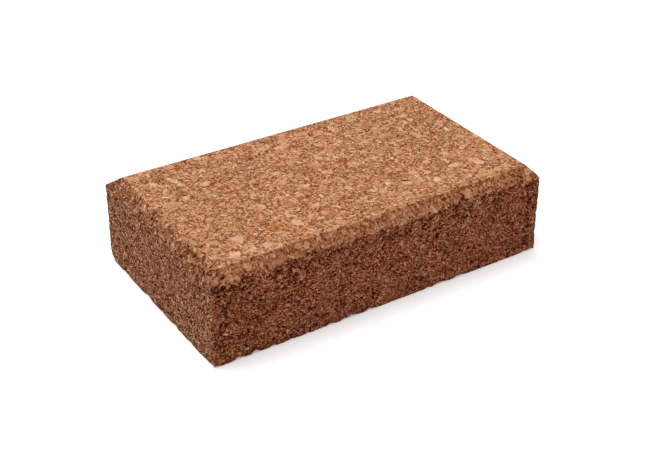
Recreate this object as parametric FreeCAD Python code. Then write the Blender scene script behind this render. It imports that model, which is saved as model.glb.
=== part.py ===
import FreeCAD, Part

import math
import os
import random

# Hand sanding block of composition cork: one flat bevelled block, pressed from cork
# granules and binder, with the coarse granules lying in it as bodies of their own.
# Millimetres. The origin is the centre of the sole, +X runs along the block, +Z is up.

LENGTH = 110.0
WIDTH = 62.5
HEIGHT = 28.0
BEVEL_INSET = 3.6
BEVEL_DROP = 3.0

# Coarse granules: (granules per 1000 mm2 of face, smallest radius, largest radius).
GRANULE_KINDS = {
    "pale_granules": (3.6, 0.9, 1.8),
    "amber_granules": (5.0, 1.0, 2.2),
    "russet_granules": (4.6, 0.9, 2.0),
    "bark_granules": (5.6, 0.45, 0.85),
}

# The largest pale granules of the top face: (distance from the left end, distance from
# the front side, radius).
LARGE_PALE_GRANULES = [
    (9.3, 50.0, 1.9),
    (11.0, 6.8, 2.0),
    (15.0, 13.0, 2.3),
    (20.5, 6.5, 1.9),
    (22.0, 43.0, 2.0),
    (33.0, 12.1, 2.4),
    (42.5, 6.0, 2.1),
    (88.5, 14.6, 2.1),
    (96.0, 12.5, 2.3),
    (98.0, 6.2, 2.0),
]

GRANULE_SEED = 417
CORNERS_MIN = 6
CORNERS_MAX = 8
CORNER_IN = 0.74
STRETCH_MAX = 1.45
DEPTH_PER_RADIUS = 1.1
INNER_SCALE = 0.6
OVERHANG = 1.0
CENTRE_DEPTH = 0.4
GRANULE_GAP = 0.7
EDGE_MARGIN = 0.55
PLACING_TRIES = 200

HALF_LENGTH = LENGTH / 2
HALF_WIDTH = WIDTH / 2
SIDE_HEIGHT = HEIGHT - BEVEL_DROP
BEVEL_WIDTH = math.hypot(BEVEL_INSET, BEVEL_DROP)
TOP_LENGTH = LENGTH - 2 * BEVEL_INSET
TOP_WIDTH = WIDTH - 2 * BEVEL_INSET

X_AXIS = FreeCAD.Vector(1, 0, 0)
Y_AXIS = FreeCAD.Vector(0, 1, 0)
Z_AXIS = FreeCAD.Vector(0, 0, 1)


class BlockFace:
    """A flat rectangle of the block's surface, where granules can lie."""

    def __init__(self, corner, along, across, length, width, inward):
        self.corner = FreeCAD.Vector(*corner)
        self.along = along
        self.across = across
        self.length = length
        self.width = width
        self.inward = inward

    def point(self, u, v, depth=0.0):
        return self.corner + self.along * u + self.across * v + self.inward * depth


def planar_solid(lower_ring, upper_ring):
    """Solid between two rings of points with parallel edges: a frustum."""
    faces = [Part.Face(Part.makePolygon(ring + ring[:1])) for ring in (lower_ring, upper_ring)]
    count = len(lower_ring)
    for i in range(count):
        j = (i + 1) % count
        quad = [lower_ring[i], lower_ring[j], upper_ring[j], upper_ring[i]]
        faces.append(Part.Face(Part.makePolygon(quad + quad[:1])))
    solid = Part.makeSolid(Part.makeShell(faces))
    if solid.Volume < 0:
        solid.reverse()
    return solid


def bevelled_block():
    """The whole block: a plain slab to the side height, then the four bevels."""
    slab = Part.makeBox(LENGTH, WIDTH, SIDE_HEIGHT, FreeCAD.Vector(-HALF_LENGTH, -HALF_WIDTH, 0))

    def rectangle(half_x, half_y, z):
        signs = [(-1, -1), (1, -1), (1, 1), (-1, 1)]
        return [FreeCAD.Vector(sx * half_x, sy * half_y, z) for sx, sy in signs]

    bevels = planar_solid(
        rectangle(HALF_LENGTH, HALF_WIDTH, SIDE_HEIGHT),
        rectangle(TOP_LENGTH / 2, TOP_WIDTH / 2, HEIGHT),
    )
    return slab.fuse(bevels).removeSplitter()


def block_faces():
    """The ten flat faces: top, sole, two long sides, two ends and four bevels."""
    left, front = -HALF_LENGTH, -HALF_WIDTH
    top = BlockFace(
        (-TOP_LENGTH / 2, -TOP_WIDTH / 2, HEIGHT), X_AXIS, Y_AXIS, TOP_LENGTH, TOP_WIDTH, -Z_AXIS
    )
    sole = BlockFace((left, front, 0), X_AXIS, Y_AXIS, LENGTH, WIDTH, Z_AXIS)
    faces = [top, sole]
    for sign in (-1, 1):
        inward_y = Y_AXIS * -sign
        inward_x = X_AXIS * -sign
        side_y = sign * HALF_WIDTH
        end_x = sign * HALF_LENGTH
        faces.append(BlockFace((left, side_y, 0), X_AXIS, Z_AXIS, LENGTH, SIDE_HEIGHT, inward_y))
        faces.append(BlockFace((end_x, front, 0), Y_AXIS, Z_AXIS, WIDTH, SIDE_HEIGHT, inward_x))
        for run, inward, run_length in (
            (X_AXIS, inward_y, TOP_LENGTH),
            (Y_AXIS, inward_x, TOP_WIDTH),
        ):
            slope = (inward * BEVEL_INSET + Z_AXIS * BEVEL_DROP) / BEVEL_WIDTH
            into_block = (inward * BEVEL_DROP - Z_AXIS * BEVEL_INSET) / BEVEL_WIDTH
            outer = HALF_WIDTH if run is X_AXIS else HALF_LENGTH
            corner = run * (-run_length / 2) - inward * outer + Z_AXIS * SIDE_HEIGHT
            faces.append(BlockFace(corner, run, slope, run_length, BEVEL_WIDTH, into_block))
    return faces


def granule_blank(face, u, v, radius, rng):
    """Irregular tapered granule, proud of the face by the overhang until it is trimmed."""
    depth = radius * DEPTH_PER_RADIUS
    outer_scale = 1 + (1 - INNER_SCALE) * OVERHANG / depth
    count = rng.randint(CORNERS_MIN, CORNERS_MAX)
    stretch = rng.uniform(1.0, STRETCH_MAX)
    turn = rng.uniform(0, math.pi)
    outline = []
    for i in range(count):
        angle = 2 * math.pi * (i + rng.uniform(-0.25, 0.25)) / count
        reach = radius * rng.uniform(CORNER_IN, 1.0)
        long_way = reach * math.cos(angle)
        short_way = reach * math.sin(angle) / stretch
        outline.append(
            (
                long_way * math.cos(turn) - short_way * math.sin(turn),
                long_way * math.sin(turn) + short_way * math.cos(turn),
            )
        )
    inner = [face.point(u + a * INNER_SCALE, v + b * INNER_SCALE, depth) for a, b in outline]
    outer = [face.point(u + a * outer_scale, v + b * outer_scale, -OVERHANG) for a, b in outline]
    return planar_solid(inner, outer)


class GranuleField:
    """Places granules so that no two of them touch."""

    def __init__(self, rng):
        self.rng = rng
        self.placed = []
        self.blanks = {kind: [] for kind in GRANULE_KINDS}

    def is_free(self, centre, radius):
        for other_centre, other_radius in self.placed:
            if centre.distanceToPoint(other_centre) < radius + other_radius + GRANULE_GAP:
                return False
        return True

    def add(self, kind, face, u, v, radius):
        centre = face.point(u, v, radius * DEPTH_PER_RADIUS * CENTRE_DEPTH)
        if not self.is_free(centre, radius):
            return False
        self.placed.append((centre, radius))
        self.blanks[kind].append(granule_blank(face, u, v, radius, self.rng))
        return True

    def scatter(self, kind, face):
        density, radius_min, radius_max = GRANULE_KINDS[kind]
        for _ in range(round(density * face.length * face.width / 1000)):
            for _ in range(PLACING_TRIES):
                radius = self.rng.uniform(radius_min, radius_max)
                margin = radius * EDGE_MARGIN
                u = self.rng.uniform(margin, face.length - margin)
                v = self.rng.uniform(margin, face.width - margin)
                if self.add(kind, face, u, v, radius):
                    break


def place_granules():
    faces = block_faces()
    field = GranuleField(random.Random(GRANULE_SEED))
    top = faces[0]
    for from_left, from_front, radius in LARGE_PALE_GRANULES:
        field.add("pale_granules", top, from_left - BEVEL_INSET, from_front - BEVEL_INSET, radius)
    for kind in GRANULE_KINDS:
        for face in faces:
            field.scatter(kind, face)
    return field.blanks


def export(name, shape):
    shape.exportStep(os.path.join("parts", name + ".step"))
    print(f"{name}: {len(shape.Solids)} solids, {len(shape.Faces)} faces, {shape.Volume:.1f} mm3")


def main():
    os.makedirs("parts", exist_ok=True)
    block = bevelled_block()
    blanks_by_kind = place_granules()
    all_blanks = [blank for blanks in blanks_by_kind.values() for blank in blanks]
    export("cork_body", block.cut(all_blanks))
    for kind, blanks in blanks_by_kind.items():
        export(kind, Part.makeCompound([blank.common(block) for blank in blanks]))


main()
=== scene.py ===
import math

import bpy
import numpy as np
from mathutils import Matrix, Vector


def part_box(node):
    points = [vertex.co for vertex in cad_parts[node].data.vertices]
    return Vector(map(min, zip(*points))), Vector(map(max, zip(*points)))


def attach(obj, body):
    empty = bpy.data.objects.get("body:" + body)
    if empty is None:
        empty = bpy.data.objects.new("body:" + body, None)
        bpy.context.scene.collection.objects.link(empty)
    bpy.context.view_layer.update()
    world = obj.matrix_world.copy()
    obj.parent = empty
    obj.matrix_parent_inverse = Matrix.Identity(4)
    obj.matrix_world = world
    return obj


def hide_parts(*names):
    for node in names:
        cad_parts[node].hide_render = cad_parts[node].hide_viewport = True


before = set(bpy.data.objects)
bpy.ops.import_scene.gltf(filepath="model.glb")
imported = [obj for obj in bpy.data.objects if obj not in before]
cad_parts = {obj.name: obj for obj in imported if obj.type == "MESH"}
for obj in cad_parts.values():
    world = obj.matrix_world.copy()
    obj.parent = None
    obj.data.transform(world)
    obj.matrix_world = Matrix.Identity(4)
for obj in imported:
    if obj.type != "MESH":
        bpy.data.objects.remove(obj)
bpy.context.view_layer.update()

# The looks of a composition-cork hand sanding block, built round its CAD frame.
# Lengths in the textures and in the mesh code are millimetres; MM turns them into metres.
# A name that ends in RANGE is a pair: where a smooth step starts and where it is complete.
# A name that ends in SHAKE lists the noise, as (size, reach), that makes outlines jagged.

MM = 0.001
BODY = "root"
BODY_NODE = "cork_body"

# Attributes that the pieces keep for their materials: the place before the relief, the two
# face masks, and a random number per granule.
REST = "rest"
FLANK = "flank"
ENDS = "ends"
OWN = "own"
# Attributes that only the relief uses: the way out of the block, the depth in it, and the
# room to the next edge.
OUTWARD = "outward"
BURIED = "buried"
ROOM = "room"


# ---------------------------------------------------------------- the block's sizes

SAME_PLACE = 0.01


def block_sizes():
    """Half length, half width, height, side height and bevel inset, read from the CAD body."""
    _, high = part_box(BODY_NODE)
    points = np.array([v.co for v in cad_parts[BODY_NODE].data.vertices]) / MM
    half_x, half_y, height = high.x / MM, high.y / MM, high.z / MM
    on_end = np.isclose(points[:, 0], half_x, atol=SAME_PLACE)
    on_top = np.isclose(points[:, 2], height, atol=SAME_PLACE)
    side_height = points[on_end, 2].max()
    inset = half_x - np.abs(points[on_top, 0]).max()
    return half_x, half_y, height, side_height, inset


HALF_X, HALF_Y, HEIGHT, SIDE_HEIGHT, BEVEL_INSET = block_sizes()
BEVEL_DROP = HEIGHT - SIDE_HEIGHT
BEVEL_WIDTH = math.hypot(BEVEL_INSET, BEVEL_DROP)


# ---------------------------------------------------------------- node graphs

# The noise lattice is tilted, because faces that lie along it would show its lines.
NOISE_TILT = (0.6, 0.35, 0.9)


class Graph:
    """Builds texture maths, in a material or in a geometry tree alike."""

    def __init__(self, tree):
        self.tree = tree

    def node(self, kind, **settings):
        made = self.tree.nodes.new(kind)
        for name, value in settings.items():
            setattr(made, name, value)
        return made

    def set(self, socket, value):
        if isinstance(value, bpy.types.NodeSocket):
            self.tree.links.new(value, socket)
        elif value is not None:
            socket.default_value = value

    def math(self, operation, a, b=None, c=None, clamp=False):
        made = self.node("ShaderNodeMath", operation=operation, use_clamp=clamp)
        for socket, value in zip(made.inputs, (a, b, c)):
            self.set(socket, value)
        return made.outputs[0]

    def add(self, a, b):
        return self.math("ADD", a, b)

    def subtract(self, a, b):
        return self.math("SUBTRACT", a, b)

    def multiply(self, a, b):
        return self.math("MULTIPLY", a, b)

    def over(self, value, threshold):
        return self.math("GREATER_THAN", value, threshold)

    def vector(self, operation, a, b=None, scale=None):
        made = self.node("ShaderNodeVectorMath", operation=operation)
        self.set(made.inputs[0], a)
        self.set(made.inputs[1], b)
        self.set(made.inputs[3], scale)
        return made.outputs[1 if operation in ("LENGTH", "DISTANCE", "DOT_PRODUCT") else 0]

    def parts(self, vector):
        made = self.node("ShaderNodeSeparateXYZ")
        self.set(made.inputs[0], vector)
        return made.outputs

    def step(self, value, start, end, low=0.0, high=1.0):
        """Smooth step of value, from low at start to high at end."""
        made = self.node("ShaderNodeMapRange", interpolation_type="SMOOTHSTEP")
        for socket, setting in zip(made.inputs, (value, start, end, low, high)):
            self.set(socket, setting)
        return made.outputs[0]

    def rotated(self, coords, angles):
        made = self.node("ShaderNodeVectorRotate", rotation_type="EULER_XYZ")
        self.set(made.inputs["Vector"], coords)
        self.set(made.inputs["Rotation"], angles)
        return made.outputs[0]

    def noise(self, coords, size, detail=2.0, roughness=0.5):
        """Noise of that feature size in millimetres: (value, random vector)."""
        made = self.node("ShaderNodeTexNoise")
        self.set(made.inputs["Vector"], self.rotated(coords, NOISE_TILT))
        made.inputs["Scale"].default_value = 1 / size
        made.inputs["Detail"].default_value = detail
        made.inputs["Roughness"].default_value = roughness
        return made.outputs[0], made.outputs[1]

    def cells(self, coords, size):
        """Voronoi cells of that size: (distance to centre, random vector, distance to edge)."""
        cell = self.node("ShaderNodeTexVoronoi", feature="F1")
        edge = self.node("ShaderNodeTexVoronoi", feature="DISTANCE_TO_EDGE")
        for made in (cell, edge):
            self.set(made.inputs["Vector"], coords)
            made.inputs["Scale"].default_value = 1 / size
        to_edge = self.multiply(edge.outputs["Distance"], size)
        to_centre = self.multiply(cell.outputs["Distance"], size)
        return to_centre, cell.outputs["Color"], to_edge

    def turned(self, coords, random):
        """Coordinates turned every way at random, by one random vector per granule."""
        return self.rotated(coords, self.vector("SCALE", random, scale=2 * math.pi))

    def mix(self, factor, a, b, kind="FLOAT"):
        made = self.node("ShaderNodeMix", data_type=kind)
        first, out = {"FLOAT": (2, 0), "VECTOR": (4, 1), "RGBA": (6, 2)}[kind]
        self.set(made.inputs[0], factor)
        self.set(made.inputs[first], a)
        self.set(made.inputs[first + 1], b)
        return made.outputs[out]

    def tint(self, factor, colour, by):
        """Colour multiplied by another, as far as factor says."""
        made = self.node("ShaderNodeMix", data_type="RGBA", blend_type="MULTIPLY")
        self.set(made.inputs[0], factor)
        self.set(made.inputs[6], colour)
        self.set(made.inputs[7], by)
        return made.outputs[2]

    def ramp(self, value, stops):
        made = self.node("ShaderNodeValToRGB")
        while len(made.color_ramp.elements) < len(stops):
            made.color_ramp.elements.new(0.5)
        for element, (position, colour) in zip(made.color_ramp.elements, stops):
            element.position = position
            element.color = colour
        self.set(made.inputs[0], value)
        return made.outputs[0]


def linear(red, green, blue):
    """A colour from 0 to 255 per channel, as the linear values that shaders take."""
    shares = [c / 255 for c in (red, green, blue)]
    return [s / 12.92 if s <= 0.04045 else ((s + 0.055) / 1.055) ** 2.4 for s in shares] + [1.0]


# ---------------------------------------------------------------- cork as a texture


def shaken(graph, coords, shakes):
    """Coordinates moved by noise, once per (size, reach)."""
    for size, reach in shakes:
        _, shake = graph.noise(coords, size, detail=1.5)
        shake = graph.vector("SUBTRACT", shake, (0.5, 0.5, 0.5))
        coords = graph.vector("ADD", coords, graph.vector("SCALE", shake, scale=reach))
    return coords


COARSE_SIZE = 2.2
FINE_SIZE = 1.15
CRUMB_SIZE = 0.52
COARSE_SHARE = 0.34
CRUMB_SHARE = 0.34
GRANULE_SHAKE = [(1.5, 1.6), (0.38, 0.65)]


def granules(graph, coords):
    """Granules of three sizes pressed together: (random vector of each, distance to its edge)."""
    jagged = shaken(graph, coords, GRANULE_SHAKE)
    _, coarse, coarse_edge = graph.cells(jagged, COARSE_SIZE)
    _, fine, fine_edge = graph.cells(jagged, FINE_SIZE)
    _, crumb, crumb_edge = graph.cells(jagged, CRUMB_SIZE)
    broken = graph.over(graph.parts(coarse)[0], COARSE_SHARE)
    crumbled = graph.over(CRUMB_SHARE, graph.parts(fine)[0])
    small = graph.mix(crumbled, fine, crumb, "VECTOR")
    small_edge = graph.mix(crumbled, fine_edge, graph.math("MINIMUM", fine_edge, crumb_edge))
    chosen = graph.mix(broken, coarse, small, "VECTOR")
    edge = graph.mix(broken, coarse_edge, graph.math("MINIMUM", coarse_edge, small_edge))
    return chosen, edge


SPECK_SPACING = 1.8
SPECK_SHAKE = [(0.5, 0.9)]
SPECK_RADII = (0.12, 0.42)
SPECK_EDGE_RANGE = (0.06, -0.08)
SPECKS_LEFT_OUT = 0.30


def specks(graph, coords):
    """Small dark crumbs of bark, 0 to 1."""
    to_centre, random, _ = graph.cells(shaken(graph, coords, SPECK_SHAKE), SPECK_SPACING)
    red, green, _ = graph.parts(random)
    radius = graph.step(green, 0.0, 1.0, *SPECK_RADII)
    inside = graph.step(graph.subtract(to_centre, radius), *SPECK_EDGE_RANGE)
    return graph.multiply(inside, graph.over(red, SPECKS_LEFT_OUT))


SLIVER_SPACING = 4.0
SLIVER_SHAKE = [(1.1, 0.9), (0.35, 0.4)]
SLIVER_RADIUS = 0.36
SLIVER_SQUASH = (0.24, 1.0, 0.6)
SLIVER_EDGE = 0.12
SLIVER_OUTLINE_INNER = 0.04
SLIVER_OUTLINE_OUTER = 0.14


def slivers(graph, coords):
    """A few long pale slivers of cork: (where they are, where the dark line round them is)."""
    cell = graph.node("ShaderNodeTexVoronoi", feature="F1")
    jagged = shaken(graph, coords, SLIVER_SHAKE)
    graph.set(cell.inputs["Vector"], jagged)
    cell.inputs["Scale"].default_value = 1 / SLIVER_SPACING
    from_centre = graph.vector("SUBTRACT", jagged, cell.outputs["Position"])
    turned = graph.turned(from_centre, cell.outputs["Color"])
    distance = graph.vector("LENGTH", graph.vector("MULTIPLY", turned, SLIVER_SQUASH))
    inside = graph.step(distance, SLIVER_RADIUS, SLIVER_RADIUS - SLIVER_EDGE)
    outer, inner = SLIVER_RADIUS + SLIVER_OUTLINE_OUTER, SLIVER_RADIUS + SLIVER_OUTLINE_INNER
    outline = graph.step(distance, outer, inner)
    return inside, graph.subtract(outline, inside)


def from_vertical_faces(graph, coords):
    """How far places are in from the nearer end, and in from the nearer long side."""
    x, y, _ = graph.parts(coords)
    from_end = graph.subtract(HALF_X, graph.math("ABSOLUTE", x))
    return from_end, graph.subtract(HALF_Y, graph.math("ABSOLUTE", y))


# The line between a side and its bevel wanders, and in places the side bites into the bevel.
WANDER_SIZE = 1.3
WANDER_REACH = 3.0
BITE_SIZE = 3.5
BITE_RANGE = (0.5, 0.75)
BITE_DEPTH = 1.6
LINE_BLUR = 0.3
TORN_REACH = 5.0
TORN_DEPTH = 0.4


def regions(graph, coords, flank, ends):
    """Where the surface is a sawn side and where it is a bevel, with ragged lines between.

    The sanded top runs on a little over the end bevels, so that their rims look torn."""
    wander, _ = graph.noise(coords, WANDER_SIZE, detail=2.0)
    wander = graph.subtract(wander, 0.5)
    bite, _ = graph.noise(coords, BITE_SIZE, detail=1.0)
    height = graph.parts(coords)[2]
    bitten = graph.step(bite, *BITE_RANGE, 0.0, -BITE_DEPTH)
    ragged = graph.add(height, graph.add(graph.multiply(wander, WANDER_REACH), bitten))
    side = graph.multiply(flank, graph.step(ragged, SIDE_HEIGHT + LINE_BLUR, SIDE_HEIGHT - LINE_BLUR))
    uneven = graph.add(height, graph.multiply(wander, TORN_REACH))
    torn = graph.multiply(graph.step(uneven, HEIGHT - TORN_DEPTH, HEIGHT), graph.multiply(flank, ends))
    bevel = graph.subtract(graph.subtract(flank, side), torn)
    return side, graph.math("MAXIMUM", bevel, 0.0)


# Pale long rims and vertical edges, partly wear and partly a painted highlight, and painted shade just
# under the long rims.
ARRIS_PATCH_SIZE = 1.1
ARRIS_PATCH_RANGE = (0.42, 0.54)
RIM_RANGE = (0.45, 0.20)
VERTICAL_EDGE_RANGE = (0.75, 0.25)
UNDER_RIM_SHADE_RANGE = (1.0, 0.2)
UNDER_RIM_SHADE_STRENGTH = 0.7


def rim_wear_highlight_and_shade(graph, coords, flank, ends):
    """Above 0 where the long rims and the vertical edges are worn pale, partly a painted highlight;
    below 0 where painted shade lies under a rim.
    """
    from_end, from_long_side = from_vertical_faces(graph, coords)
    from_top = graph.subtract(HEIGHT, graph.parts(coords)[2])
    from_rim = graph.subtract(from_long_side, BEVEL_INSET)
    place, _ = graph.noise(coords, ARRIS_PATCH_SIZE, detail=1.0)
    worn_and_highlit = graph.step(place, *ARRIS_PATCH_RANGE)
    rim = graph.multiply(graph.step(from_rim, *RIM_RANGE), graph.subtract(1.0, flank))
    vertical = graph.step(graph.add(from_end, from_long_side), *VERTICAL_EDGE_RANGE)
    pale = graph.multiply(graph.math("MAXIMUM", rim, vertical), worn_and_highlit)
    # Painted shade on the long bevels just under the top's rim.
    under = graph.multiply(graph.step(from_top, *UNDER_RIM_SHADE_RANGE), graph.subtract(flank, ends))
    return graph.subtract(pale, graph.multiply(under, UNDER_RIM_SHADE_STRENGTH))


GAP_SIZE = 0.9
GAP_RANGE = (0.56, 0.80)
WIDEST_GAP = 0.27
GAP_BLUR = 0.12
GAP_PATCH_SIZE = 8.0
# What adds to the noise that opens the gaps: on the sides, in the band under the bevels, with
# how much less of it on the ends, on the bevels, round the rims at the ends, and in patches.
SIDE_GAPS = 0.08
BAND_GAPS = 0.06
BAND_BELOW_BEVEL = (7.0, 1.0)
BAND_LESS_ON_ENDS = 0.8
LONG_BEVEL_GAPS = 0.02
END_BEVEL_GAPS = 0.06
END_RIM_GAPS = 0.06
END_RIM_RANGE = (2.2, 0.6)
PATCH_GAPS = 0.14


def gaps(graph, coords, edge, side, bevel, ends):
    """Open gaps between granules, 0 to 1: wide on the sides, most of all under the long bevels."""
    place, _ = graph.noise(coords, GAP_SIZE, detail=2.0, roughness=0.6)
    patch, _ = graph.noise(coords, GAP_PATCH_SIZE, detail=1.0)
    band_start, band_full = BAND_BELOW_BEVEL
    height = graph.parts(coords)[2]
    band = graph.step(height, SIDE_HEIGHT - band_start, SIDE_HEIGHT - band_full)
    band = graph.multiply(band, graph.subtract(1.0, graph.multiply(ends, BAND_LESS_ON_ENDS)))
    lift = graph.multiply(side, graph.add(graph.multiply(band, BAND_GAPS), SIDE_GAPS))
    from_end, _ = from_vertical_faces(graph, coords)
    from_end_rim = graph.math("ABSOLUTE", graph.subtract(from_end, BEVEL_INSET))
    end_rim = graph.step(from_end_rim, *END_RIM_RANGE)
    lift = graph.add(lift, graph.multiply(bevel, graph.mix(ends, LONG_BEVEL_GAPS, END_BEVEL_GAPS)))
    lift = graph.add(lift, graph.multiply(end_rim, END_RIM_GAPS))
    lift = graph.add(lift, graph.multiply(graph.subtract(patch, 0.5), PATCH_GAPS))
    width = graph.step(graph.add(place, lift), *GAP_RANGE, 0.0, WIDEST_GAP)
    return graph.math("DIVIDE", graph.subtract(width, edge), GAP_BLUR, clamp=True)


SOLE_EDGE_REACH = 1.9
VERTICAL_EDGE_REACH = 1.2
VERTICAL_EDGE_WEAR = 0.35


def edge_wear(graph, coords):
    """1 on the sole's edges and less on the vertical edges, fading to 0 within two millimetres."""
    from_end, from_long_side = from_vertical_faces(graph, coords)
    height = graph.parts(coords)[2]
    from_side = graph.math("MINIMUM", from_end, from_long_side)
    sole_edge = graph.step(graph.add(height, from_side), SOLE_EDGE_REACH, 0.0)
    from_vertical_edge = graph.add(from_end, from_long_side)
    vertical_edge = graph.step(from_vertical_edge, VERTICAL_EDGE_REACH, 0.0, 0.0, VERTICAL_EDGE_WEAR)
    return graph.math("MAXIMUM", sole_edge, vertical_edge)


# ---------------------------------------------------------------- the body's skin

SKIN_STEP = 0.54
EDGE_ROWS = (0.10, 0.28)
EDGE_SOFTNESS = 0.04
SOFTENING_PASSES = 6
WORN_CORNER_REACH = 2.6
# Corners of the sole worn rounder than the edges: (sign of x, sign of y, extra softness).
WORN_CORNERS = [(-1, 1, 0.35), (-1, -1, 0.16), (1, 1, 0.2)]


def rows(length):
    """Grid places from 0 to length, a step apart, with closer rows at both edges."""
    inner = EDGE_ROWS[-1]
    count = round((length - 2 * inner) / SKIN_STEP)
    middle = np.linspace(inner, length - inner, count + 1)
    start = (0.0,) + EDGE_ROWS[:-1]
    return np.concatenate([start, middle, [length - r for r in reversed(start)]])


def cap_grid(x_places, y_places, z):
    x, y = np.meshgrid(x_places, y_places, indexing="ij")
    return np.stack([x.ravel(), y.ravel(), np.full(x.size, z)], 1)


def rim_of(nx, ny):
    """Grid places round a cap's rim, counter-clockwise from above."""
    places = [(i, 0) for i in range(nx)] + [(nx, j) for j in range(ny)]
    places += [(i, ny) for i in range(nx, 0, -1)] + [(0, j) for j in range(ny, 0, -1)]
    return np.array([i * (ny + 1) + j for i, j in places])


def skin_grid():
    """Points and quads of the sharp block: grids on the sole and the top, rings up the sides."""
    x_places = rows(2 * HALF_X) - HALF_X
    y_places = rows(2 * HALF_Y) - HALF_Y
    nx, ny = len(x_places) - 1, len(y_places) - 1
    sole = cap_grid(x_places, y_places, 0.0)
    rim = rim_of(nx, ny)
    levels = [(0.0, z) for z in rows(SIDE_HEIGHT)[1:]]
    for r in rows(BEVEL_WIDTH)[1:]:
        levels.append((BEVEL_INSET * r / BEVEL_WIDTH, SIDE_HEIGHT + BEVEL_DROP * r / BEVEL_WIDTH))

    def shrunk(points, inset, z):
        return points * ((HALF_X - inset) / HALF_X, (HALF_Y - inset) / HALF_Y, 0.0) + (0.0, 0.0, z)

    top = shrunk(sole, *levels[-1])
    rings = [shrunk(sole[rim], inset, z) for inset, z in levels[:-1]]
    points = np.concatenate([sole, top] + rings)
    first_ring = len(sole) + len(top)
    ring_rows = [rim]
    ring_rows += [first_ring + k * len(rim) + np.arange(len(rim)) for k in range(len(rings))]
    ring_rows.append(len(sole) + rim)
    quads = []
    for lower, upper in zip(ring_rows, ring_rows[1:]):
        quads.append(np.stack([lower, np.roll(lower, -1), np.roll(upper, -1), upper], 1))
    i, j = np.meshgrid(np.arange(nx), np.arange(ny), indexing="ij")
    corner = (i * (ny + 1) + j).ravel()
    cap = np.stack([corner, corner + ny + 1, corner + ny + 2, corner + 1], 1)
    quads += [cap[:, ::-1], cap + len(sole)]
    return points, np.concatenate(quads)


def block_planes():
    """Outward normals and offsets of the block's planes, for points folded to positive x and y."""
    normals = np.array(
        [
            (1, 0, 0),
            (0, 1, 0),
            (0, 0, -1),
            (0, 0, 1),
            (BEVEL_DROP / BEVEL_WIDTH, 0, BEVEL_INSET / BEVEL_WIDTH),
            (0, BEVEL_DROP / BEVEL_WIDTH, BEVEL_INSET / BEVEL_WIDTH),
        ]
    )
    on_each = np.array(
        [
            (HALF_X, 0, 0),
            (0, HALF_Y, 0),
            (0, 0, 0),
            (0, 0, HEIGHT),
            (HALF_X, 0, SIDE_HEIGHT),
            (0, HALF_Y, SIDE_HEIGHT),
        ]
    )
    return normals, (normals * on_each).sum(1)


def height_over_block(points, softness):
    """How far points stand over the block's rounded surface, and the way out of it."""
    normals, offsets = block_planes()
    sign = np.where(points < 0, -1.0, 1.0)
    sign[:, 2] = 1.0
    distance = (points * sign) @ normals.T - offsets
    weight = np.exp(distance / softness)
    total = weight.sum(1, keepdims=True)
    return softness * np.log(total), (weight @ normals) / total * sign


def softened(points):
    """The sharp block's points, moved in so that its edges and corners are rounded."""
    softness = np.full(len(points), EDGE_SOFTNESS)
    for sign_x, sign_y, extra in WORN_CORNERS:
        away = np.linalg.norm(points - (sign_x * HALF_X, sign_y * HALF_Y, 0.0), axis=1)
        softness += extra * np.exp(-((away / WORN_CORNER_REACH) ** 2))
    softness = softness[:, None]
    moved = points.copy()
    for _ in range(SOFTENING_PASSES):
        height, outward = height_over_block(moved, softness)
        moved -= height * outward / (outward**2).sum(1, keepdims=True)
    return moved


def mesh_object(name, points, faces):
    mesh = bpy.data.meshes.new(name)
    mesh.from_pydata((points * MM).tolist(), [], faces.tolist())
    mesh.update()
    made = bpy.data.objects.new(name, mesh)
    bpy.context.scene.collection.objects.link(made)
    return made


def apply_modifiers(piece):
    evaluated = piece.evaluated_get(bpy.context.evaluated_depsgraph_get())
    mesh = bpy.data.meshes.new_from_object(evaluated)
    piece.modifiers.clear()
    piece.data = mesh
    mesh.shade_smooth()


def named_attribute(graph, name, kind):
    made = graph.node("GeometryNodeInputNamedAttribute", data_type=kind)
    made.inputs["Name"].default_value = name
    return made.outputs["Attribute"]


# How far the way out of the block points up or down on a flank, and lengthwise on an end.
FLANK_RANGE = (0.95, 0.85)
ENDS_RANGE = (0.35, 0.55)


def face_masks(graph, outward):
    """1 where the surface is a bevel or a side, and 1 where it faces an end of the block."""
    x, _, z = graph.parts(outward)
    flank = graph.step(graph.math("ABSOLUTE", z), *FLANK_RANGE)
    ends = graph.step(graph.math("ABSOLUTE", x), *ENDS_RANGE)
    return flank, ends


def random_per_island(graph):
    """A number from 0 to 1 for each separate island of the mesh."""
    island = graph.node("GeometryNodeInputMeshIsland").outputs["Island Index"]
    made = graph.node("FunctionNodeRandomValue", data_type="FLOAT")
    graph.set(made.inputs["ID"], island)
    return made.outputs[1]


def relief_tree(name, offset_of):
    """A geometry tree that keeps the materials' attributes, then moves the surface."""
    tree = bpy.data.node_groups.new(name, "GeometryNodeTree")
    tree.interface.new_socket("Geometry", in_out="INPUT", socket_type="NodeSocketGeometry")
    tree.interface.new_socket("Geometry", in_out="OUTPUT", socket_type="NodeSocketGeometry")
    graph = Graph(tree)
    geometry = graph.node("NodeGroupInput").outputs[0]
    result = graph.node("NodeGroupOutput")
    outward = named_attribute(graph, OUTWARD, "FLOAT_VECTOR")
    position = graph.node("GeometryNodeInputPosition").outputs[0]
    coords = graph.vector("SCALE", position, scale=1 / MM)
    flank, ends = face_masks(graph, outward)
    kept = [
        (REST, "FLOAT_VECTOR", coords),
        (FLANK, "FLOAT", flank),
        (ENDS, "FLOAT", ends),
        (OWN, "FLOAT", random_per_island(graph)),
    ]
    for label, kind, value in kept:
        store = graph.node("GeometryNodeStoreNamedAttribute", data_type=kind)
        store.inputs["Name"].default_value = label
        graph.set(store.inputs["Geometry"], geometry)
        graph.set(store.inputs["Value"], value)
        geometry = store.outputs[0]
    move = graph.node("GeometryNodeSetPosition")
    graph.set(move.inputs["Geometry"], geometry)
    offset = offset_of(graph, coords, outward)
    graph.set(move.inputs["Offset"], graph.vector("SCALE", offset, scale=MM))
    graph.set(result.inputs[0], move.outputs[0])
    return tree


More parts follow.
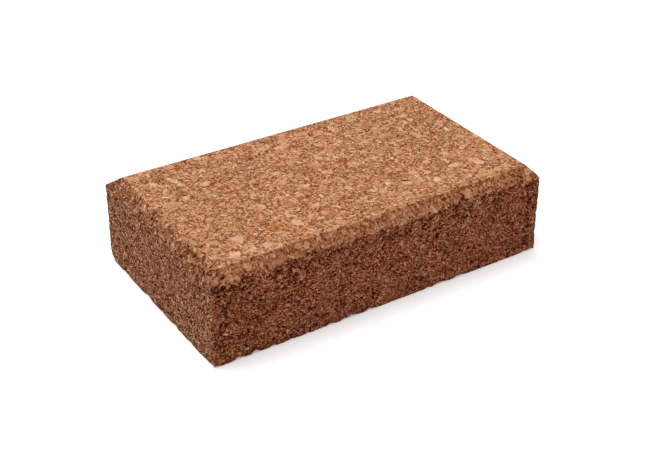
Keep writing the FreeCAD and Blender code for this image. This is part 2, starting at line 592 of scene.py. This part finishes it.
# Depths of the relief, where the surface is sanded and where it is sawn. Each granule lies its
# own way down, up to the depth for granules.
BASE_RECESS = 0.03
CREVICE_REACH = 0.30
SANDED_CREVICE_DEPTH = 0.04
SANDED_GRANULE_DEPTH = 0.04
SPECK_DEPTH = 0.12
SAWN_CREVICE_DEPTH = 0.08
SAWN_GRANULE_DEPTH = 0.09
WAVE_SIZE = 6.0
WAVE_RANGE = (0.45, 0.75)
WAVE_DEPTH = 0.26
BEVEL_ROUGHNESS = 0.15
SANDED_GAP_DEPTH = 0.15
SAWN_GAP_EXTRA_DEPTH = 0.35
CHIP_SIZE = 3.4
CHIP_RANGE = (0.46, 0.78)
CHIP_DEPTH = 1.15


def skin_depth(graph, coords, outward):
    """How far, in millimetres, the skin lies under the block's nominal faces."""
    random, edge = granules(graph, coords)
    blue = graph.parts(random)[2]
    flank, ends = face_masks(graph, outward)
    side, bevel = regions(graph, coords, flank, ends)
    open_gaps = gaps(graph, coords, edge, side, bevel, ends)
    crevice = graph.step(edge, CREVICE_REACH, 0.0)
    waves, _ = graph.noise(coords, WAVE_SIZE, detail=1.0)
    sanded = graph.multiply(crevice, SANDED_CREVICE_DEPTH)
    sanded = graph.add(sanded, graph.multiply(blue, SANDED_GRANULE_DEPTH))
    sanded = graph.add(sanded, graph.multiply(specks(graph, coords), SPECK_DEPTH))
    sawn = graph.multiply(crevice, SAWN_CREVICE_DEPTH)
    sawn = graph.add(sawn, graph.multiply(blue, SAWN_GRANULE_DEPTH))
    sawn = graph.add(sawn, graph.step(waves, *WAVE_RANGE, 0.0, WAVE_DEPTH))
    roughness = graph.add(side, graph.multiply(bevel, BEVEL_ROUGHNESS))
    depth = graph.mix(roughness, sanded, sawn)
    gap_depth = graph.add(graph.multiply(roughness, SAWN_GAP_EXTRA_DEPTH), SANDED_GAP_DEPTH)
    depth = graph.add(depth, graph.multiply(open_gaps, gap_depth))
    chips, _ = graph.noise(coords, CHIP_SIZE, detail=2.5, roughness=0.6)
    chip_depth = graph.step(chips, *CHIP_RANGE, 0.0, CHIP_DEPTH)
    depth = graph.add(depth, graph.multiply(edge_wear(graph, coords), chip_depth))
    return graph.add(depth, BASE_RECESS)


def skin_offset(graph, coords, outward):
    inward_by = graph.multiply(skin_depth(graph, coords, outward), -1.0)
    return graph.vector("SCALE", outward, scale=inward_by)


def mesh_points(piece):
    points = np.empty(len(piece.data.vertices) * 3)
    piece.data.vertices.foreach_get("co", points)
    return points.reshape(-1, 3) / MM


def store_outward(piece):
    """Keeps at each vertex the way out of the block, its depth in it and its room to an edge."""
    points = mesh_points(piece)
    height, outward = height_over_block(points, EDGE_SOFTNESS)
    outward /= np.linalg.norm(outward, axis=1, keepdims=True)
    normals, offsets = block_planes()
    folded = points.copy()
    folded[:, :2] = np.abs(folded[:, :2])
    under_planes = np.sort(offsets - folded @ normals.T, axis=1)
    attributes = piece.data.attributes
    attributes.new(OUTWARD, "FLOAT_VECTOR", "POINT").data.foreach_set("vector", outward.ravel())
    attributes.new(BURIED, "FLOAT", "POINT").data.foreach_set("value", -height.ravel())
    attributes.new(ROOM, "FLOAT", "POINT").data.foreach_set("value", under_planes[:, 1])


# How far the right end leans in at the bevel, and how quickly that fades towards the middle.
END_LEAN = 1.1
LEAN_FADE = 3


def leaned(points):
    """The right end is sawn a little out of square: from the sole up to the bevel it leans in."""
    lean = np.interp(points[:, 2], (0, SIDE_HEIGHT, HEIGHT), (0, END_LEAN, 0))
    near_end = np.clip(points[:, 0] / HALF_X, 0, 1) ** LEAN_FADE
    moved = points.copy()
    moved[:, 0] -= lean * near_end
    return moved


def add_relief(piece, offset_of):
    """Moves the piece's surface by its relief, leans its right end, and keeps it in the block."""
    store_outward(piece)
    relief = piece.modifiers.new("relief", "NODES")
    relief.node_group = relief_tree(piece.name + "_relief", offset_of)
    apply_modifiers(piece)
    for name in (OUTWARD, BURIED, ROOM):
        piece.data.attributes.remove(piece.data.attributes[name])
    inside = np.clip(leaned(mesh_points(piece)), (-HALF_X, -HALF_Y, 0), (HALF_X, HALF_Y, HEIGHT))
    piece.data.vertices.foreach_set("co", (inside * MM).ravel())
    piece.data.update()


def make_skin():
    points, quads = skin_grid()
    skin = mesh_object("cork_block_skin", softened(points), quads)
    add_relief(skin, skin_offset)
    skin.data.materials.append(cork_material())
    return skin


# ---------------------------------------------------------------- materials

# Cork from its darkest to its palest: where the top is sanded, and where the flanks are sawn.
SANDED_PALETTE = [
    (0.00, linear(94, 26, 0)),
    (0.25, linear(145, 81, 36)),
    (0.50, linear(188, 134, 95)),
    (0.75, linear(210, 163, 129)),
    (1.00, linear(228, 190, 158)),
]
SAWN_PALETTE = [
    (0.00, linear(62, 8, 0)),
    (0.25, linear(125, 64, 30)),
    (0.50, linear(161, 105, 74)),
    (0.75, linear(188, 138, 108)),
    (1.00, linear(212, 168, 138)),
]
REDDISH = (1.06, 0.94, 0.90, 1.0)
YELLOWISH = (0.97, 1.03, 1.0, 1.0)
SLIVER_COLOUR = linear(236, 196, 164)
SPECK_COLOUR = linear(80, 26, 4)
# The open gaps are painted near black: painted shade inside hollows that the relief also sinks.
GAP_SHADE_COLOUR = linear(50, 8, 0)
# The seams' colour is dark binder, partly painted shade in the crevices.
SEAM_BINDER_AND_SHADE_COLOUR = linear(112, 42, 6)
# The sides' tints make them darker than the top: partly the sawn cork's own colour, partly painted
# shade, the long sides more than the ends.
LONG_SIDE_TONE_AND_SHADE = (0.79, 0.63, 0.57, 1.0)
END_SIDE_TONE_AND_SHADE = (0.92, 0.92, 0.89, 1.0)
LONG_BEVEL_TINT = (0.93, 0.95, 0.91, 1.0)
END_BEVEL_TINT = (0.79, 0.89, 0.93, 1.0)


def new_material(name):
    material = bpy.data.materials.new(name)
    material.use_nodes = True
    tree = material.node_tree
    return material, Graph(tree), tree.nodes["Principled BSDF"]


def attribute(graph, name, output="Fac"):
    return graph.node("ShaderNodeAttribute", attribute_name=name).outputs[output]


GRAIN_RANGE = (0.2, 0.8)
LEAST_ROUGHNESS = 0.78
MOST_ROUGHNESS = 0.95
CORK_SPECULAR = 0.02


def matt_finish(graph, shader, colour, grain, relief):
    graph.set(shader.inputs["Base Color"], colour)
    roughness = graph.step(grain, *GRAIN_RANGE, LEAST_ROUGHNESS, MOST_ROUGHNESS)
    graph.set(shader.inputs["Roughness"], roughness)
    shader.inputs["Specular IOR Level"].default_value = CORK_SPECULAR
    bump = graph.node("ShaderNodeBump")
    bump.inputs["Strength"].default_value = 1.0
    bump.inputs["Distance"].default_value = MM
    graph.set(bump.inputs["Height"], relief)
    graph.set(shader.inputs["Normal"], bump.outputs[0])


def centred(graph, value, reach):
    """A value from 0 to 1, as one that reaches that far either side of 0."""
    return graph.multiply(graph.subtract(value, 0.5), 2 * reach)


def flat_squash(stretch):
    """What coordinates are multiplied by to turn cells into plates, that much wider than thick."""
    return (1 / stretch, 1 / stretch, 1.0)


FLAKE_THICKNESS = 0.34
FLAKE_STRETCH = 2.8
END_FLAKE_STRETCH = 3.4
FLAKE_SHAKE = [(0.3, 0.25)]
FLAKE_OUTLINE_RANGE = (0.10, 0.02)
OUTLINES_LEFT_OUT = 0.45
# The sides cut across the pressed layers, so there the plates are finer, and finest in height.
PRESSED_FINER = (1.35, 1.35, 1.8)
# A quarter turn brings most of the plates on the sides to lie flat, as pressing leaves them.
QUARTER_TURN = (0.0, math.pi / 2, 0.0)


def flakes(graph, coords, random, side, ends):
    """Thin plates that lie a different way in each granule: (shade, darkness of their outlines)."""
    pressed = graph.rotated(graph.vector("MULTIPLY", coords, PRESSED_FINER), QUARTER_TURN)
    turned = graph.turned(graph.mix(graph.over(side, 0.5), coords, pressed, "VECTOR"), random)
    squash = graph.mix(ends, flat_squash(FLAKE_STRETCH), flat_squash(END_FLAKE_STRETCH), "VECTOR")
    flat = graph.vector("MULTIPLY", turned, squash)
    _, shades, edge = graph.cells(shaken(graph, flat, FLAKE_SHAKE), FLAKE_THICKNESS)
    shade, kept, _ = graph.parts(shades)
    outline = graph.step(edge, *FLAKE_OUTLINE_RANGE)
    return shade, graph.multiply(outline, graph.over(kept, OUTLINES_LEFT_OUT))


GRAIN_SIZE = 0.20
MOTTLE_SIZE = 0.7
# How far each layer moves the tone, which runs from 0 to 1 along a palette.
FLAKE_TONE = 0.17
GRAIN_TONE = 0.20
MOTTLE_TONE = 0.13
# The rim layer is partly wear and partly a painted highlight, with painted shade under the long rims.
RIM_HIGHLIGHT_AND_SHADE_TONE = 0.13
SANDED_OUTLINE_TONE = 0.27
SAWN_OUTLINE_TONE = 0.30
# How strong the flakes and the grain are: between two values from granule to granule on the
# sanded top, and at least so strong on the long sides, the ends and the end bevels.
STREAK_RANGE = (0.1, 0.7)
SANDED_STREAKS = (0.45, 1.0)
LONG_SIDE_STREAKS = 2.6
END_STREAKS = 2.8
END_BEVEL_STREAKS = 1.35
# Heights in the bump.
GRAIN_BUMP = 0.10
FLAKE_BUMP = 0.06
OUTLINE_BUMP = 0.04


def cork_colour(graph, coords, random, side, bevel, tone):
    """Cork of that tone, with flakes, mottle and cell grain: (colour, height in the bump, grain)."""
    flank, ends = attribute(graph, FLANK), attribute(graph, ENDS)
    grain, _ = graph.noise(coords, GRAIN_SIZE, detail=1.0)
    mottle, _ = graph.noise(coords, MOTTLE_SIZE, detail=2.0)
    shade, outline = flakes(graph, coords, random, side, ends)
    fine = graph.add(centred(graph, shade, FLAKE_TONE), centred(graph, grain, GRAIN_TONE))
    outline_tone = graph.step(side, 0.0, 1.0, SANDED_OUTLINE_TONE, SAWN_OUTLINE_TONE)
    fine = graph.subtract(fine, graph.multiply(outline, outline_tone))
    top_streaks = graph.step(graph.parts(random)[2], *STREAK_RANGE, *SANDED_STREAKS)
    side_streaks = graph.multiply(side, graph.mix(ends, LONG_SIDE_STREAKS, END_STREAKS))
    bevel_streaks = graph.multiply(graph.multiply(bevel, ends), END_BEVEL_STREAKS)
    sawn_streaks = graph.add(side_streaks, bevel_streaks)
    fine = graph.multiply(fine, graph.math("MAXIMUM", top_streaks, sawn_streaks))
    tone = graph.add(graph.add(fine, centred(graph, mottle, MOTTLE_TONE)), tone)
    # Paler rims and edges, partly worn and partly a painted highlight, and painted shade under the
    # long rims.
    tone = graph.add(tone, graph.multiply(rim_wear_highlight_and_shade(graph, coords, flank, ends), RIM_HIGHLIGHT_AND_SHADE_TONE))
    sanded_colour, sawn_colour = graph.ramp(tone, SANDED_PALETTE), graph.ramp(tone, SAWN_PALETTE)
    colour = graph.mix(graph.add(side, bevel), sanded_colour, sawn_colour, "RGBA")
    # The sides darkened by their tints: partly the sawn cork's own colour, partly painted shade.
    colour = graph.tint(side, colour, graph.mix(ends, LONG_SIDE_TONE_AND_SHADE, END_SIDE_TONE_AND_SHADE, "RGBA"))
    colour = graph.tint(bevel, colour, graph.mix(ends, LONG_BEVEL_TINT, END_BEVEL_TINT, "RGBA"))
    relief = graph.add(graph.multiply(grain, GRAIN_BUMP), graph.multiply(shade, FLAKE_BUMP))
    return colour, graph.subtract(relief, graph.multiply(outline, OUTLINE_BUMP)), grain


HUE_PATCH_SIZE = 2.6
HUE_RANGE = (0.36, 0.62)
HUE_PER_GRANULE = 0.12
HUE_LESS_ON_FLANKS = 0.4


def patchy_hue(graph, coords, colour, random, flank):
    """The colour made redder in some patches and yellower in others, less so on the flanks."""
    patches, _ = graph.noise(coords, HUE_PATCH_SIZE, detail=2.0)
    patches = graph.add(patches, centred(graph, graph.parts(random)[2], HUE_PER_GRANULE))
    hue = graph.mix(graph.step(patches, *HUE_RANGE), REDDISH, YELLOWISH, "RGBA")
    strength = graph.subtract(1.0, graph.multiply(flank, HUE_LESS_ON_FLANKS))
    return graph.tint(strength, colour, hue)


SEAM_RANGE = (0.15, 0.05)
SEAM_PATCH_SIZE = 0.8
SEAM_PATCH_RANGE = (0.40, 0.52)


def seams(graph, coords, edge):
    """Thin dark lines between granules, in patches, 0 to 1: dark binder, partly painted shade in the
    crevices.
    """
    place, _ = graph.noise(coords, SEAM_PATCH_SIZE, detail=1.0)
    return graph.multiply(graph.step(edge, *SEAM_RANGE), graph.step(place, *SEAM_PATCH_RANGE))


BODY_TONE = 0.65
GRANULE_TONE = 0.12
SIDE_TONE_SHARE = 0.5
SLIVER_STRENGTH = 0.55
FLANK_SLIVER_SHARE = 0.25
TOP_SEAM_STRENGTH = 0.75
SIDE_SEAM_STRENGTH = 0.25
SPECK_STRENGTH = 0.82
# How far painted shade darkens the open gaps.
GAP_SHADE_STRENGTH = 0.85
SEAM_BUMP = 0.05
SPECK_BUMP = 0.06
GAP_BUMP = 0.12


def cork_material():
    """Pressed cork: granules of three sizes, seams and gaps, pale slivers and bark specks. The gaps'
    dark colour is painted shade, and the seams' is partly painted shade.
    """
    material, graph, shader = new_material("pressed_cork")
    coords = attribute(graph, REST, "Vector")
    flank, ends = attribute(graph, FLANK), attribute(graph, ENDS)
    side, bevel = regions(graph, coords, flank, ends)
    random, edge = granules(graph, coords)
    share = graph.step(side, 0.0, 1.0, 1.0, SIDE_TONE_SHARE)
    own_tone = centred(graph, graph.parts(random)[1], GRANULE_TONE)
    tone = graph.add(graph.multiply(own_tone, share), BODY_TONE)
    colour, relief, grain = cork_colour(graph, coords, random, side, bevel, tone)
    colour = patchy_hue(graph, coords, colour, random, flank)
    pale_slivers, sliver_outlines = slivers(graph, coords)
    pale_slivers = graph.multiply(pale_slivers, graph.step(flank, 0.0, 1.0, 1.0, FLANK_SLIVER_SHARE))
    colour = graph.mix(graph.multiply(pale_slivers, SLIVER_STRENGTH), colour, SLIVER_COLOUR, "RGBA")
    seam = graph.math("MAXIMUM", seams(graph, coords, edge), sliver_outlines)
    seam = graph.multiply(seam, graph.subtract(1.0, pale_slivers))
    seam_strength = graph.step(side, 0.0, 1.0, TOP_SEAM_STRENGTH, SIDE_SEAM_STRENGTH)
    open_gaps = gaps(graph, coords, edge, side, bevel, ends)
    # Dark seams (binder, partly painted shade), bark specks, and painted shade in the open gaps.
    marks_and_painted_shade = [
        (seam, seam_strength, SEAM_BINDER_AND_SHADE_COLOUR, SEAM_BUMP),
        (specks(graph, coords), SPECK_STRENGTH, SPECK_COLOUR, SPECK_BUMP),
        (open_gaps, GAP_SHADE_STRENGTH, GAP_SHADE_COLOUR, GAP_BUMP),
    ]
    for mark, strength, dark, depth in marks_and_painted_shade:
        colour = graph.mix(graph.multiply(mark, strength), colour, dark, "RGBA")
        relief = graph.subtract(relief, graph.multiply(mark, depth))
    matt_finish(graph, shader, colour, grain, relief)
    return material


# Each kind of coarse granule: (tone, tint over the common palette).
GRANULE_LOOKS = {
    "pale_granules": (0.76, (1.0, 1.02, 1.04, 1.0)),
    "amber_granules": (0.64, (1.02, 0.98, 0.95, 1.0)),
    "russet_granules": (0.48, (1.05, 0.95, 0.93, 1.0)),
    "bark_granules": (0.18, (1.0, 0.97, 0.96, 1.0)),
}
COMMON_TONE = 0.60
FLANK_TONE_SHARE = 0.3
OWN_TONE = 0.12
LARGEST_GRANULE = 4.0


def granule_material(kind):
    """One kind of coarse granule; on the flanks its tone is closer to the cork round it."""
    material, graph, shader = new_material(kind)
    coords = attribute(graph, REST, "Vector")
    flank = attribute(graph, FLANK)
    side, bevel = regions(graph, coords, flank, attribute(graph, ENDS))
    tone, tint = GRANULE_LOOKS[kind]
    flank_tone = COMMON_TONE + (tone - COMMON_TONE) * FLANK_TONE_SHARE
    _, random, _ = graph.cells(coords, LARGEST_GRANULE)
    own = centred(graph, attribute(graph, OWN), OWN_TONE)
    own_tone = graph.add(graph.mix(flank, tone, flank_tone), own)
    colour, relief, grain = cork_colour(graph, coords, random, side, bevel, own_tone)
    matt_finish(graph, shader, graph.tint(1.0, colour, tint), grain, relief)
    return material


# ---------------------------------------------------------------- coarse granules

GRANULE_VOXEL = 0.20
GRANULE_SMOOTHING = 0.5
GRANULE_SMOOTHING_PASSES = 2
LEAST_PROUD = 0.06
LUMP_SIZE = 1.2
TOP_LUMP_DEPTH = 0.12
SIDE_LUMP_EXTRA_DEPTH = 0.30
# How deep in the block the lumps fade out, and how near an edge the outlines stay put.
BURIED_RANGE = (1.0, 0.4)
ROOM_RANGE = (0.1, 1.2)
OUTLINE_SHAKE = [(2.2, 2.0), (0.8, 1.5)]


def granule_offset(graph, coords, outward):
    """Makes a granule's outline uneven and keeps its face just over the skin round it."""
    lumps, _ = graph.noise(coords, LUMP_SIZE, detail=2.0)
    side, _ = regions(graph, coords, *face_masks(graph, outward))
    lump_depth = graph.add(graph.multiply(side, SIDE_LUMP_EXTRA_DEPTH), TOP_LUMP_DEPTH)
    own = graph.multiply(lumps, lump_depth)
    skin = graph.subtract(skin_depth(graph, coords, outward), LEAST_PROUD)
    depth = graph.math("MAXIMUM", graph.math("MINIMUM", own, skin), 0.0)
    buried = named_attribute(graph, BURIED, "FLOAT")
    depth = graph.multiply(depth, graph.step(buried, *BURIED_RANGE))
    room = graph.step(named_attribute(graph, ROOM, "FLOAT"), *ROOM_RANGE)
    moved = graph.vector("SUBTRACT", shaken(graph, coords, OUTLINE_SHAKE), coords)
    shake = graph.vector("SCALE", moved, scale=room)
    out_share = graph.vector("DOT_PRODUCT", shake, outward)
    along = graph.vector("SUBTRACT", shake, graph.vector("SCALE", outward, scale=out_share))
    return graph.vector("SUBTRACT", along, graph.vector("SCALE", outward, scale=depth))


def make_granules(kind):
    """The CAD node's tapered solids, remeshed with worn edges and an uneven surface."""
    piece = bpy.data.objects.new(kind + "_worn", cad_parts[kind].data.copy())
    bpy.context.scene.collection.objects.link(piece)
    remesh = piece.modifiers.new("remesh", "REMESH")
    remesh.mode = "VOXEL"
    remesh.voxel_size = GRANULE_VOXEL * MM
    smooth = piece.modifiers.new("smooth", "SMOOTH")
    smooth.factor = GRANULE_SMOOTHING
    smooth.iterations = GRANULE_SMOOTHING_PASSES
    apply_modifiers(piece)
    add_relief(piece, granule_offset)
    piece.data.materials.clear()
    piece.data.materials.append(granule_material(kind))
    return piece


# ---------------------------------------------------------------- stage, light, camera

# The camera's angles in degrees, and its place in lengths of the block from the middle.
CAMERA_AZIMUTH = -33.68
CAMERA_ELEVATION = 31.83
CAMERA_ROLL = 0.89
CAMERA_LENGTHS_AWAY = 3.264
CAMERA_RIGHT_SHARE = 0.0085
CAMERA_UP_SHARE = 0.052
CAMERA_LENS_MM = 68.46
CAMERA_SENSOR_MM = 36.0
CAMERA_CLIP_START = 0.01

# The stage's half width and the backdrop's height are in metres.
STAGE_HALF = 4.0
BACKDROP_HEIGHT = 0.8
STAGE_COLOUR = (0.90, 0.90, 0.90, 1.0)
STAGE_ROUGHNESS = 0.9
STAGE_SPECULAR = 0.1
GLOW_COLOUR = (1.0, 1.0, 1.0, 1.0)
FLOOR_GLOW = 0.2
BACKDROP_GLOW = 0.4

SKY_COLOUR = (1, 1, 1, 1)
SKY_STRENGTH = 0.45
KEY_ENERGY = 2.56
KEY_SOFTNESS_DEGREES = 50
TOWARDS_KEY = (-0.20, 0.12, 0.95)


def stage_piece(name, points, faces, glow):
    """A pale matt part of the stage that also gives off a little light."""
    piece = mesh_object(name, points, np.array(faces))
    material, _, shader = new_material(name)
    shader.inputs["Base Color"].default_value = STAGE_COLOUR
    shader.inputs["Roughness"].default_value = STAGE_ROUGHNESS
    shader.inputs["Specular IOR Level"].default_value = STAGE_SPECULAR
    shader.inputs["Emission Color"].default_value = GLOW_COLOUR
    shader.inputs["Emission Strength"].default_value = glow
    piece.data.materials.append(material)


def make_stage():
    """A pale floor, with a low pale backdrop far round it for the views from near the floor."""
    square = np.array([(-1, -1), (1, -1), (1, 1), (-1, 1)]) * STAGE_HALF / MM
    low = np.column_stack([square, np.zeros(4)])
    high = np.column_stack([square, np.full(4, BACKDROP_HEIGHT / MM)])
    walls = [[i, i + 4, (i + 1) % 4 + 4, (i + 1) % 4] for i in range(4)]
    stage_piece("floor", low, [[0, 1, 2, 3]], FLOOR_GLOW)
    stage_piece("backdrop", np.concatenate([low, high]), walls, BACKDROP_GLOW)


def make_light():
    """A white sky, and one wide soft key light from almost overhead."""
    scene = bpy.context.scene
    world = bpy.data.worlds.new("studio")
    world.use_nodes = True
    sky = world.node_tree.nodes["Background"]
    sky.inputs["Color"].default_value = SKY_COLOUR
    sky.inputs["Strength"].default_value = SKY_STRENGTH
    scene.world = world
    sun = bpy.data.lights.new("key", "SUN")
    sun.energy = KEY_ENERGY
    sun.angle = math.radians(KEY_SOFTNESS_DEGREES)
    key = bpy.data.objects.new("key", sun)
    scene.collection.objects.link(key)
    key.rotation_mode = "QUATERNION"
    key.rotation_quaternion = Vector(TOWARDS_KEY).to_track_quat("Z", "Y")
    scene.view_settings.view_transform = "Standard"


def make_camera():
    azimuth, elevation = math.radians(CAMERA_AZIMUTH), math.radians(CAMERA_ELEVATION)
    level = math.cos(elevation)
    back = Vector((math.sin(azimuth) * level, -math.cos(azimuth) * level, math.sin(elevation)))
    level_right = Vector((0, 0, 1)).cross(back).normalized()
    level_up = back.cross(level_right)
    roll = math.radians(CAMERA_ROLL)
    right = level_right * math.cos(roll) + level_up * math.sin(roll)
    up = level_up * math.cos(roll) - level_right * math.sin(roll)
    length = 2 * HALF_X * MM
    centre = Vector((0, 0, HEIGHT * MM / 2))
    data = bpy.data.cameras.new("camera")
    data.sensor_width = CAMERA_SENSOR_MM
    data.lens = CAMERA_LENS_MM
    data.clip_start = CAMERA_CLIP_START
    camera = bpy.data.objects.new("camera", data)
    turned = Matrix((right, up, back)).transposed()
    offset = back * CAMERA_LENGTHS_AWAY - right * CAMERA_RIGHT_SHARE - up * CAMERA_UP_SHARE
    place = centre + offset * length
    camera.matrix_world = Matrix.Translation(place) @ turned.to_4x4()
    bpy.context.scene.collection.objects.link(camera)
    bpy.context.scene.camera = camera


# ---------------------------------------------------------------- the whole scene


def main():
    make_camera()
    make_stage()
    make_light()
    skin = make_skin()
    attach(skin, BODY)
    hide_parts(BODY_NODE)
    for kind in GRANULE_LOOKS:
        piece = make_granules(kind)
        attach(piece, BODY)
        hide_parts(kind)


main()
